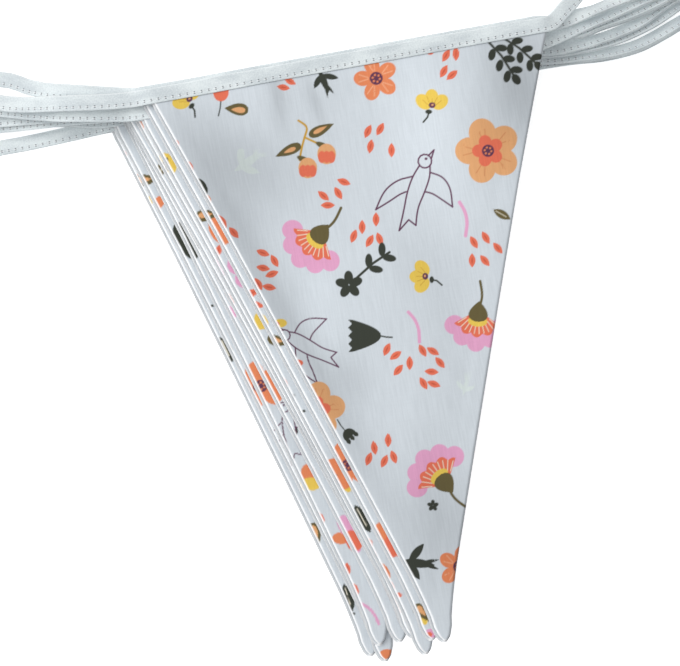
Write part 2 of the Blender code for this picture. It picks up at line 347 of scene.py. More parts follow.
class Pennant:
    """Where one pennant lies: sideways runs along its top from the left corner, depth down it."""

    def __init__(self, level):
        self.level = level
        corner_x, corner_y, turn, self.extra = PLACES[level]
        c, s = direction(turn)
        self.corner = np.array((corner_x, corner_y))
        self.across = np.array((c, s))
        self.down = np.array((s, -c))

    def place(self, sideways, depth):
        return self.corner + np.outer(sideways, self.across) + np.outer(depth, self.down)

    def own(self, spots):
        """Sideways and depth of spots given in the picture's axes."""
        return (spots - self.corner) @ self.across, (spots - self.corner) @ self.down

    def sides(self, depth, inset):
        """The left and right side at a depth, and the depth of the tip."""
        tip = DEPTH + self.extra - inset / 2
        on_table = np.where(depth > 0.0, depth * DEPTH / tip, depth)
        half = np.interp(on_table, *zip(*OUTLINE))
        middle = TOP_WIDTH / 2 + TIP_SIDEWAYS * np.maximum(0.0, depth) / DEPTH
        return middle - half + np.minimum(inset, half), middle + half, tip


def blob(x, y, cx, cy, a, b, turn=0.0):
    """Rough distance outside an ellipse."""
    c, s = direction(turn)
    u, v = (x - cx) * c + (y - cy) * s, (y - cy) * c - (x - cx) * s
    return (np.hypot(u / a, v / b) - 1.0) * min(a, b)


def bounded(x, y, x0, y0, x1, y1, bulge):
    """Rough distance outside a shape about an axis; bulge gives its half width along it."""
    run = math.hypot(x1 - x0, y1 - y0)
    ux, uy = (x1 - x0) / run, (y1 - y0) / run
    t = ((x - x0) * ux + (y - y0) * uy) / run
    away = np.abs((y - y0) * ux - (x - x0) * uy)
    return np.maximum(away - bulge(np.clip(t, 0.0, 1.0)), run * np.maximum(-t, t - 1.0))


def blade(x, y, x0, y0, x1, y1, width):
    """Rough distance outside a leaf with two points."""
    return bounded(x, y, x0, y0, x1, y1, lambda share: width * 4.0 * share * (1.0 - share))


def drop(x, y, x0, y0, x1, y1, width):
    """Rough distance outside a leaf that is round at its first end and pointed at its last."""
    full = width * 2.6
    return bounded(x, y, x0, y0, x1, y1, lambda share: full * np.sqrt(share) * (1.0 - share))


def line(x, y, points, width):
    """Distance outside a drawn line through some points."""
    nearest = np.full_like(x, 1e9)
    for (x0, y0), (x1, y1) in zip(points, points[1:]):
        nearest = np.minimum(nearest, from_segment(x, y, x0, y0, x1, y1))
    return nearest - width


def curved(points):
    """Points with their bends cut to soft curves, the ends kept."""
    for _ in range(3):
        bends = []
        for (x0, y0), (x1, y1) in zip(points, points[1:]):
            bends.append((0.75 * x0 + 0.25 * x1, 0.75 * y0 + 0.25 * y1))
            bends.append((0.25 * x0 + 0.75 * x1, 0.25 * y0 + 0.75 * y1))
        points = [points[0]] + bends[1:-1] + [points[-1]]
    return points


def ring(count, radius, first):
    """Evenly turned points round the motif's middle, the first at an angle in degrees."""
    ways = [direction(first + 360.0 * n / count) for n in range(count)]
    return [(radius * c, radius * s) for c, s in ways]


def petals(x, y, count, reach, length, width, cx=0.0):
    """Distance outside a flower of separate rounded petals."""
    nearest = np.full_like(x, 1e9)
    for n, (px, py) in enumerate(ring(count, reach, 90.0)):
        petal = blob(x - cx, y, px, py, length, width, 90.0 + 360.0 * n / count)
        nearest = np.minimum(nearest, petal)
    return nearest


# Each motif is drawn about its own middle and in its own size, as (ink, shape, its numbers)
def seed(ink):
    return [(ink, blade, -1.1, 0, 1.1, 0, 0.52), (DEEP_CORAL, blade, -0.6, 0, 0.55, 0, 0.12)]


def patch(ink):
    return [(ink, blob, 0, 0, 1.25, 0.85)]


def leaf(ink):
    return [(ink, blade, -1, 0, 1, 0, 0.42), (CREAM, line, [(-0.7, 0), (0.5, 0)], 0.03)]


def two_tone_leaf(ink):
    return [(ink, drop, -1, 0, 1, 0, 0.5), (PEACH, drop, -0.75, 0.05, 0.45, 0.05, 0.24)]


def speckled_heart(radius):
    """A flower's middle: a plum disc with a ring of small dots."""
    size = radius * 0.17
    dots = [(ORANGE, blob, *dot, size, size) for dot in ring(6, radius * 0.55, 20.0)]
    return [(PLUM, blob, 0, 0, radius, radius)] + dots


def veins(inner, outer, width, ink):
    """Two lines on each of five petals; inner and outer are a line end's radius and turn."""
    shapes = []
    for side in (-1, 1):
        ends = [ring(5, radius, 90.0 + turn * side) for radius, turn in (inner, outer)]
        shapes += [(ink, line, vein, width) for vein in zip(*ends)]
    return shapes


def poppy(ink):
    shapes = [(ink, petals, 5, 0.60, 0.42, 0.345)]
    shapes += veins((0.36, 5.0), (0.80, 12.0), 0.022, PALE_ORANGE)
    return shapes + speckled_heart(0.29)


def petal_bloom(ink):
    return [(ink, petals, 5, 0.58, 0.44, 0.36)] + speckled_heart(0.25)


def aster(ink):
    shapes = [(ink, petals, 5, 0.58, 0.45, 0.42)]
    shapes += veins((0.46, 7.0), (0.78, 10.0), 0.014, DEEP_PEACH)
    return shapes + [(CORAL, petals, 5, 0.28, 0.22, 0.20)] + speckled_heart(0.19)


def cup(ink):
    """A small open flower on a short stalk, its petals spread from one point."""
    shapes = [(CHARCOAL, line, [(-0.3, -0.6), (-0.36, -0.9), (-0.62, -1.2)], 0.05)]
    for turn in (140.0, 90.0, 38.0):
        c, s = direction(turn)
        shapes.append((ink, blob, 0.62 * c - 0.12, 0.62 * s - 0.42, 0.52, 0.4, turn))
    for turn in (136.0, 112.0, 88.0, 64.0, 40.0):
        c, s = direction(turn)
        vein = [(0.34 * c - 0.12, 0.34 * s - 0.42), (0.72 * c - 0.12, 0.72 * s - 0.42)]
        shapes.append((DEEP_YELLOW, line, vein, 0.018))
    shapes += [(PLUM, blob, -0.1, -0.22, 0.2, 0.17), (PEACH, blob, -0.08, -0.2, 0.07, 0.06)]
    return shapes + [(CHARCOAL, blob, -0.3, -0.6, 0.2, 0.13)]


def toothed_bowl(x, y):
    """Rough distance outside a bowl that opens along +x to a toothed rim."""
    opening = 0.95 * np.sqrt(np.clip((x + 1.0) / 1.7, 0.0, 1.0))
    teeth = 0.72 + 0.22 * np.abs((y * 2.1) % 1.0 - 0.5) * 2.0
    return np.maximum(np.abs(y) - opening, np.maximum(x - teeth, -1.0 - x))


def tulip(ink):
    return [(ink, toothed_bowl), (ink, line, [(-0.9, 0), (-1.3, 0.08), (-1.65, 0.1)], 0.045)]


def dome(x, y):
    """Rough distance outside a round shape cut straight across."""
    return np.maximum(blob(x, y, 0, 0.15, 0.85, 0.95), y - 0.35)


def bell(ink):
    tips = [(ink, blade, side * 0.55, 0.1, side * 0.72, 0.95, 0.28) for side in (-1, 0, 1)]
    return [(CHARCOAL, line, [(0, -0.7), (-0.1, -1.6), (-0.3, -2.4)], 0.07), (ink, dome)] + tips


def floret(ink):
    return [(ink, petals, 5, 0.5, 0.48, 0.34)]


def sprig(ink):
    stem = [(-1, -0.05), (-0.2, 0.05), (0.9, 0.0)]
    shapes = [(ink, line, stem, 0.05), (ink, blob, 0.95, 0, 0.24, 0.17)]
    for at in (-0.6, -0.05, 0.5):
        for side in (-1, 1):
            shapes.append((ink, blob, at + 0.14, side * 0.24, 0.25, 0.15, side * 50.0))
    return shapes


def cluster(ink):
    shapes = [(ink, line, [(-1, 0.05), (-0.3, -0.03), (0.8, 0.0)], 0.045)]
    for at in (-0.72, -0.1):
        for side in (-1, 1):
            shapes.append((ink, blob, at - 0.14, side * 0.2, 0.25, 0.13, side * -50.0))
    return shapes + [(ink, petals, 5, 0.26, 0.24, 0.16, 0.85)]


def bud_sprig(ink):
    stem = [(-0.2, 0.9), (0.12, 0.7), (0.0, 0.35), (-0.1, 0.0), (-0.17, -0.4)]
    shapes = [
        (DEEP_YELLOW, line, curved(stem), 0.035),
        (DEEP_YELLOW, line, [(0.0, 0.35), (0.43, 0.15)], 0.035),
        (ink, drop, 0.15, 0.4, 0.98, 0.8, 0.17),
        (PEACH, drop, 0.3, 0.48, 0.75, 0.72, 0.07),
        (ink, drop, -0.12, 0.1, -0.98, -0.28, 0.17),
        (PEACH, drop, -0.3, 0.0, -0.7, -0.16, 0.07),
    ]
    for bud_x, bud_y in ((0.73, -0.2), (0.1, -0.66)):
        shapes.append((ink, blob, bud_x - 0.1, bud_y + 0.26, 0.28, 0.1, -25.0))
        shapes.append((PEACH, blob, bud_x, bud_y, 0.31, 0.34))
        for side in (-0.16, 0.0, 0.16):
            shapes.append((CORAL, blob, bud_x + side, bud_y - 0.1, 0.13, 0.2))
    return shapes


def ruffled(x, y):
    """Rough distance outside a fan that opens along +x to a ruffled rim."""
    away, angle = np.hypot(x, y), np.arctan2(y, x)
    ruffle = 0.60 + 0.09 * np.abs(np.cos(angle * 6.4))
    return np.maximum(away - ruffle, (np.abs(angle) - 1.0) * away)


def fan(ink):
    """A ruffled bloom that opens along +x from its calyx."""
    shapes = [(OLIVE, line, curved([(0, 0), (-0.35, 0.08), (-0.72, -0.02)]), 0.032)]
    for turn in (-54.0, -27.0, 0.0, 27.0, 54.0):
        c, s = direction(turn)
        reach = 0.80 - abs(turn) * 0.0016
        shapes.append((ink, blob, reach * c, reach * s, 0.25, 0.235, turn))
    shapes.append((CORAL, ruffled))
    for turn in range(-54, 60, 12):
        c, s = direction(turn)
        shapes.append((CREAM, line, [(0.36 * c, 0.36 * s), (0.60 * c, 0.60 * s)], 0.009))
    return shapes + [(YELLOW, blob, 0.28, 0, 0.14, 0.24), (OLIVE, drop, 0.30, 0, -0.22, 0, 0.24)]


def stroke(ink):
    return [(ink, line, curved([(-1, -0.12), (-0.4, 0.12), (0.3, 0.12), (1, -0.12)]), 0.1)]


def bird(ink):
    """A plain line drawing of a bird flying up and to the right."""
    head = [(0.33 + dot_x, 0.78 + dot_y) for dot_x, dot_y in ring(12, 0.17, 10.0)]
    back = [(0.2, 0.68), (0.02, 0.4), (-0.12, 0.0), (-0.2, -0.45), (-0.32, -0.95)]
    belly = [(0.46, 0.66), (0.46, 0.4), (0.32, 0.0), (0.14, -0.4), (0.1, -0.82)]
    tail = [(-0.32, -0.95), (-0.08, -0.68), (0.1, -0.82)]
    near_wing = [(0.02, 0.4), (-0.35, 0.32), (-0.7, 0.05), (-0.9, -0.42), (-0.56, -0.22)]
    near_wing += [(-0.3, -0.04), (-0.14, 0.02)]
    far_wing = [(0.46, 0.5), (0.78, 0.4), (0.98, 0.1), (1.02, -0.36), (0.76, -0.18)]
    far_wing += [(0.52, -0.02), (0.33, 0.02)]
    beak = [(0.42, 0.92), (0.56, 1.06), (0.49, 0.84)]
    strokes = [head + head[:1], curved(back), curved(belly), tail, beak]
    for wing in (near_wing, far_wing):
        strokes += [curved(wing[:4]), curved(wing[3:])]
    return [(ink, line, each, 0.02) for each in strokes] + [(ink, blob, 0.36, 0.84, 0.035, 0.035)]


def swallow(ink):
    shapes = [
        (ink, blade, -0.85, 0.1, 1.5, -0.2, 0.30),
        (ink, blade, -0.3, 0.0, 0.75, 1.25, 0.27),
        (ink, blade, -0.35, 0.1, 0.45, -1.15, 0.27),
    ]
    return shapes + [(ink, blade, 0.5, -0.05, 1.75, side * 0.32 - 0.15, 0.12) for side in (-1, 1)]


# The print's rows: motif, sideways, depth, size, turn in degrees, ink
TOP_MOTIFS = [
    (swallow, 69, 2, 4.4, -70, CHARCOAL), (swallow, 32, 30, 5.6, 30, PALE),
    (swallow, 103, 134, 3.2, 70, PALE), (cup, 15, -1, 6.8, 35, YELLOW),
    (bell, 28, 1, 3.6, -10, CORAL), (two_tone_leaf, 33, 8, 4.8, 165, OLIVE),
    (seed, 53, 3, 2.4, -20, CORAL), (seed, 56, 1, 2.4, -40, CORAL), (poppy, 90, 6, 8.8, 80, ORANGE),
    (seed, 113, 0, 1.2, -10, CORAL), (cup, 111, 19, 6.8, -10, YELLOW),
    (sprig, 141, 8, 9.6, -65, CHARCOAL), (sprig, 149, 6, 9.2, -50, CHARCOAL),
    (aster, 129, 42, 12.8, 80, PEACH), (bud_sprig, 57, 28, 12, -10, OLIVE),
    (bird, 96, 53, 16, -10, PLUM), (fan, 58, 62, 16.8, -140, PINK),
    (stroke, 115, 67, 6.8, -90, PINK), (leaf, 130, 68, 4, -40, OLIVE),
    (cluster, 73, 80, 11.2, -150, CHARCOAL), (cup, 94, 86, 6.8, 80, YELLOW),
    (fan, 114, 104, 16, -105, PINK), (tulip, 67, 106, 6.8, 170, CHARCOAL),
    (stroke, 88, 106, 6.4, -80, PINK), (bird, 44, 108, 13.6, 70, PLUM),
    (aster, 43, 132, 11.2, 55, PEACH), (bell, 54, 144, 3.2, -145, CHARCOAL),
    (fan, 89, 171, 16.8, 120, PINK), (floret, 82, 178, 2.4, -10, CHARCOAL),
    (swallow, 70, 199, 6, -10, CHARCOAL), (poppy, 88, 204, 8.4, 50, ORANGE),
]
TOP_SEEDS = [  # sideways, depth, turn
    (119, 2, 50), (123, 2, 80), (117, 8, 50), (120, 10, 30), (83, 26, 55), (88, 26, 50),
    (83, 32, 70), (91, 35, 80), (70, 44, -30), (67, 48, -70), (61, 48, -50), (62, 52, -10),
    (80, 61, 80), (74, 63, 80), (70, 66, 60), (76, 69, 50), (80, 69, 100), (117, 77, -70),
    (122, 76, -70), (126, 81, -60), (115, 84, 80), (120, 85, -60), (75, 113, 55), (78, 116, 25),
    (78, 122, 40), (83, 120, 80), (89, 116, -70), (93, 117, -40), (95, 122, -60), (91, 125, -15),
    (87, 129, -70), (91, 130, -30), (60, 155, 60), (63, 151, 90), (69, 149, 80), (66, 157, 55),
    (70, 156, 100),
]
STRIP_PRINT = {  # by level: what shows on the pennants' left edges
    1: [
        (seed, 19, 51, 3.2, -70, CORAL), (seed, 23, 56, 2.6, -60, CORAL),
        (seed, 33, 66, 2.6, -30, CORAL), (seed, 37, 70, 2.6, -70, CORAL),
        (seed, 32, 72, 2.6, -20, CORAL), (seed, 35, 75, 2.6, 10, CORAL),
        (seed, 29, 78, 2.6, -70, CORAL), (seed, 33, 80, 2.6, -20, CORAL),
        (patch, 7, 17, 1.2, -70, CORAL), (patch, 10, 27, 2, -70, CORAL),
        (patch, 13, 36, 3.2, -70, CHARCOAL), (patch, 15, 41, 1.6, -70, ORANGE),
        (patch, 35, 95, 2, -10, YELLOW), (patch, 33, 95, 1.2, -10, CORAL),
        (patch, 39, 112, 1.6, -10, CORAL), (patch, 73, 225, 0.8, -10, CHARCOAL),
        (leaf, 58, 173, 1.6, -70, CHARCOAL),
    ],
    2: [
        (patch, 21, 57, 3.6, 50, ORANGE), (seed, 30, 83, 2.8, 10, CORAL),
        (seed, 31, 88, 2.8, -20, CORAL), (patch, 65, 187, 3.2, -70, ORANGE),
        (patch, 67, 194, 3.2, -70, CORAL), (patch, 75, 225, 1.6, -70, YELLOW),
        (patch, 77, 231, 2.4, -10, PINK), (patch, 76, 231, 1.2, -10, CORAL),
    ],
    3: [
        (seed, 22, 57, 2.4, 70, CORAL), (patch, 33, 89, 2, -70, YELLOW),
        (seed, 39, 115, 2.8, -90, CORAL), (patch, 41, 120, 1.2, -10, CHARCOAL),
        (patch, 45, 127, 0.6, -10, CHARCOAL), (bell, 52, 156, 2, -10, CHARCOAL),
        (patch, 57, 160, 2, -70, YELLOW), (patch, 57, 173, 1.2, -70, CHARCOAL),
        (seed, 62, 184, 2.4, -70, CORAL), (seed, 63, 189, 2.4, -70, CORAL),
        (patch, 65, 197, 3.6, -70, ORANGE), (patch, 67, 203, 2.4, -70, CORAL),
        (patch, 70, 207, 1.2, -10, CORAL),
    ],
    4: [
        (patch, 3, 7, 3.2, 50, ORANGE), (patch, 6, 5, 1, -10, CHARCOAL),
        (patch, 24, 70, 3.6, -70, PINK), (seed, 50, 149, 2, -90, CORAL),
        (patch, 72, 218, 2.8, -70, ORANGE),
    ],
    5: [(seed, 29, 84, 3.6, -70, CORAL)],
    6: [
        (stroke, 2, 6, 1.2, 35, PLUM), (patch, 31, 85, 2, -70, PINK),
        (patch, 24, 72, 1.6, -70, CORAL), (patch, 35, 105, 2, -70, CORAL),
        (bell, 48, 138, 2, 10, CHARCOAL), (patch, 63, 179, 3.2, -70, PINK),
        (patch, 65, 188, 2.8, -70, PINK), (patch, 66, 200, 1.2, -70, CORAL),
        (patch, 74, 227, 0.8, -10, CORAL),
    ],
    7: [
        (patch, 22, 65, 1.2, -10, ORANGE), (patch, 57, 159, 2.8, -70, ORANGE),
        (patch, 57, 163, 2.4, -10, YELLOW), (seed, 60, 178, 2.8, -80, CORAL),
        (patch, 67, 187, 2.8, -10, ORANGE), (seed, 68, 200, 2.6, -90, CORAL),
        (seed, 70, 209, 2.8, -80, CORAL), (stroke, 75, 219, 6, -55, PINK),
    ],
    8: [
        (patch, 14, 34, 2.4, 50, ORANGE), (patch, 29, 80, 0.6, -10, CHARCOAL),
        (patch, 33, 100, 1.6, 50, CHARCOAL), (patch, 78, 235, 2.8, -10, ORANGE),
    ],
    9: [
        (patch, 9, 22, 3.2, 50, ORANGE), (patch, 12, 31, 2, 50, YELLOW),
        (patch, 2, 5, 1.2, -70, CORAL), (patch, 4, 10, 1.6, -70, CORAL),
        (patch, 72, 214, 0.8, -10, CHARCOAL),
    ],
}
WIDE_PRINT = [  # motif, size, turn, ink, and its place on each level that it runs over
    (patch, 4.8, -70, CHARCOAL, {7: (20, 54), 8: (22, 49), 6: (17, 51)}),
    (patch, 4.4, -80, CHARCOAL, {7: (22, 59), 8: (24, 54), 6: (18, 56)}),
    (leaf, 6, -70, CHARCOAL, {9: (35, 97), 8: (32, 99)}),
    (patch, 3.6, -70, YELLOW, {3: (8, 19), 4: (12, 24), 2: (6, 26)}),
    (leaf, 4.4, 60, OLIVE, {4: (10, 26), 5: (12, 26), 3: (6, 20)}),
    (two_tone_leaf, 5.2, 0, OLIVE, {8: (10, 24), 9: (11, 22), 7: (7, 29)}),
    (petal_bloom, 10.4, 10, ORANGE, {7: (43, 120), 8: (43, 116), 6: (37, 117)}),
    (bird, 12.8, 20, PLUM, {7: (51, 141), 8: (51, 138), 6: (45, 138)}),
    (patch, 3.6, -70, ORANGE, {7: (58, 159), 8: (58, 155), 6: (51, 156)}),
    (patch, 3.2, -10, YELLOW, {7: (58, 163), 8: (57, 160), 6: (51, 160)}),
    (petal_bloom, 9.6, 10, ORANGE, {2: (56, 158), 3: (59, 152)}),
    (patch, 4, -70, PINK, {6: (63, 180), 7: (70, 182), 5: (59, 184)}),
    (patch, 3.6, -70, CORAL, {6: (65, 186), 7: (72, 189), 5: (61, 190)}),
    (leaf, 6.4, -70, CHARCOAL, {3: (61, 174), 4: (65, 180), 2: (58, 180)}),
    (two_tone_leaf, 5.2, -80, OLIVE, {9: (61, 179), 8: (57, 181)}),
    (leaf, 6, -80, CHARCOAL, {9: (71, 207)}),
    (patch, 4.8, -70, ORANGE, {2: (22, 56), 3: (24, 49)}),
    (two_tone_leaf, 4.8, 0, OLIVE, {2: (18, 49), 3: (20, 42)}),
    (two_tone_leaf, 4.8, -20, OLIVE, {2: (37, 104), 3: (40, 97)}),
    (patch, 2.8, -70, YELLOW, {2: (32, 95), 3: (34, 88)}),
    (two_tone_leaf, 4.4, -60, OLIVE, {2: (75, 222), 3: (78, 216)}),
    (patch, 4, -70, CORAL, {2: (69, 193)}),
]
# Painted shade and light on the top panel: soft patches darkened (change below 0) or lightened.
SHADE_AND_LIGHT_TONES = [  # sideways, depth, half along, half beside, turn, change
    (29, 29, 24, 15, -40, -0.24), (50, 6, 3, 12, 0, -0.20), (64, 10, 2.5, 10, 10, -0.18),
    (146, 20, 14, 26, 0, -0.30), (104, 27, 16, 34, -6, 0.20), (84, 188, 14, 26, 0, -0.24),
    (60, 90, 12, 34, -18, 0.06), (96, 96, 8, 36, 6, -0.06), (39, 98, 64, 7.5, -71, -0.22),
    (24, 50, 16, 8, -71, -0.12), (57, 120, 12, 8, -60, -0.12), (112, 66, 12, 18, 0, 0.05),
]
SEED_SIZE = 2.6
TOP_PRINT = [(seed, s, d, SEED_SIZE, turn, CORAL) for s, d, turn in TOP_SEEDS] + TOP_MOTIFS
REACH = 2.6  # how far a motif goes from its middle, in its own sizes
SOFT_EDGE = 0.16
REPEAT = (158.0, 214.0)
LEVEL_SHIFT = (47.0, 71.0)
BACK_SHIFT = (83.0, 59.0)
STRIP_SEEN = 17.0
STRIP_FINE = (-1.0, 14.0)
SOFT_ROUNDS = (1.2, 0.7, 0.4, 0.2)  # the print's soft edge in each round that refines the mesh
COLOUR_STEP = 0.06
FINEST = 0.40
FINE = 0.7
# The rims' painted highlight: how far in it reaches and how strong it is.
RIM_HIGHLIGHT_LINE = (0.45, 1.05)
RIM_HIGHLIGHT_SHARE = 0.9
# The right rims' painted shade: how far in it reaches and how dark it is.
RIGHT_SHADE_LINE = (0.3, 1.3)
RIGHT_RIM_SHADE = 0.35
# Painted shade on the panels lying under the top one.
UNDER_SHADE = 0.95
THREADS = (1500.0, 90.0, 1.0)  # a metre, across and down the cloth
CROSS_THREADS = (160.0, 1300.0, 1.0)
CLOUDS = (45.0, 16.0, 1.0)
HOLLOW_TONE = 0.87


def print_on(level, is_front):
    """The rows of motifs on a panel. Each panel is cut from elsewhere on the same print."""
    if is_front and level == 1:
        return TOP_PRINT + STRIP_PRINT[1]
    shift_s, shift_d = level * LEVEL_SHIFT[0], level * LEVEL_SHIFT[1]
    if not is_front:
        shift_s, shift_d = shift_s + BACK_SHIFT[0], shift_d + BACK_SHIFT[1]
    rows = []
    for motif, sideways, depth, size, turn, ink in TOP_PRINT:
        s, d = (sideways + shift_s) % REPEAT[0], (depth + shift_d) % REPEAT[1]
        left = Pennant(level).sides(np.array([d]), 0.0)[0][0]
        if not is_front or s - left > STRIP_SEEN:
            rows.append((motif, s, d, size, turn, ink))
    if is_front:
        rows += STRIP_PRINT[level]
        for motif, size, turn, ink, places in WIDE_PRINT:
            if level in places:
                rows.append((motif, *places[level], size, turn, ink))
    return rows


def printed(sideways, depth, rows, soft=SOFT_EDGE):
    """The cloth's colour at each spot: the ground with every motif's shapes inked over it."""
    colours = np.tile(np.array(GROUND), (len(sideways), 1))
    for motif, at_s, at_d, size, turn, ink in rows:
        near = np.hypot(sideways - at_s, depth - at_d) < REACH * size
        if not near.any():
            continue
        c, s = direction(turn)
        right, up = (sideways[near] - at_s) / size, (at_d - depth[near]) / size
        x, y = right * c + up * s, up * c - right * s
        inked = colours[near]
        for shape_ink, shape, *numbers in motif(ink):
            share = 1.0 - eased(shape(x, y, *numbers) * size, -soft, soft)
            inked += share[:, None] * (np.array(shape_ink) - inked)
        colours[near] = inked
    return colours


def shaded(sideways, depth, colours):
    """The top panel's broad soft tones: painted shade in its hollows and painted light on its
    swells, the seams' layers, and the print of its back showing through.
    """
    painted_tone = np.ones(len(sideways))
    for at_s, at_d, half_s, half_d, turn, change in SHADE_AND_LIGHT_TONES:
        c, s = direction(turn)
        along, beside = sideways - at_s, at_d - depth
        u, v = (along * c + beside * s) / half_s, (beside * c - along * s) / half_d
        painted_tone += change * np.exp(-(u**2 + v**2))
    return colours * painted_tone[:, None]


def cotton():
    """Printed cotton: the inks, fine threads down the cloth, and a matt, slightly fuzzy face."""
    made, shader, start = new_material("printed cotton")
    ink = start.node("ShaderNodeVertexColor", {"layer_name": "print"})
    inks = Field(start.tree, ink.outputs[0])
    cloth = along_cloth(start)
    threads = noise(start, stretched(start, cloth, THREADS), 1.0, 3.0)
    cross = noise(start, stretched(start, cloth, CROSS_THREADS), 1.0, 2.0)
    weave = threads * 0.8 + cross * 0.2
    cloudy = noise(start, stretched(start, cloth, CLOUDS), 1.0, 2.0)
    shade = weave.between(0.30, 0.70) * 0.6 + cloudy.between(0.30, 0.70) * 0.4
    darker = start.node("ShaderNodeVectorMath", {"operation": "SCALE"})
    start.tree.links.new(inks.socket, darker.inputs[0])
    darker.inputs["Scale"].default_value = HOLLOW_TONE
    colour = tinted(start, shade, Field(start.tree, darker.outputs[0]), inks)
    to_shader(start, shader, "Base Color", colour)
    to_shader(start, shader, "Normal", raised(start, weave, 0.35, 0.0002))
    to_shader(start, shader, "Roughness", weave * 0.12 + 0.82)
    shader.inputs["Specular IOR Level"].default_value = 0.25
    shader.inputs["Sheen Weight"].default_value = 0.15
    return made


def panel_height(level, is_front, spots, sideways, depth, left, right, tip):
    """The lower and upper face of a panel: a tongue in the tape, a full body and rolled rims."""
    base = base_height(level, spots[:, 0], spots[:, 1])
    side = "front" if is_front else "back"
    full = eased(depth, TONGUE_ENDS, PANEL_FULL)
    edge = np.minimum(np.minimum(sideways - left, right - sideways), tip - depth)
    edge = np.maximum(edge, 0.0)
    roll = (1.0 - np.sqrt(1.0 - (1.0 - np.minimum(edge, RIM) / RIM) ** 2)) * full
    seam = SEAM_RISE * full * (1.0 - eased(edge, SEAM_WIDTH - 1.0, SEAM_WIDTH + 1.5)) * (1.0 - roll)
    if is_front:
        upper = TONGUE_HEIGHT[side][1] + (PITCH_HEIGHT[side][1] - TONGUE_HEIGHT[side][1]) * full
        upper = upper + seam - RIM_DROP * roll
        lower = np.maximum(upper - CLOTH, PITCH_HEIGHT[side][0] - BULGE)
        if level == 1:
            soft = creased(spots[:, 0], spots[:, 1]) * full * eased(edge, 0.0, CREASE_FADES)
            upper, lower = upper + soft, np.maximum(lower + soft, PITCH_HEIGHT[side][0])
    else:
        lower = TONGUE_HEIGHT[side][0] * (1.0 - full) + RIM_DROP * roll
        upper = np.minimum(lower + CLOTH, PITCH_HEIGHT[side][1] + BULGE + (1.0 - full))
    return base + lower, base + np.maximum(upper, lower + LEAST_CLOTH)


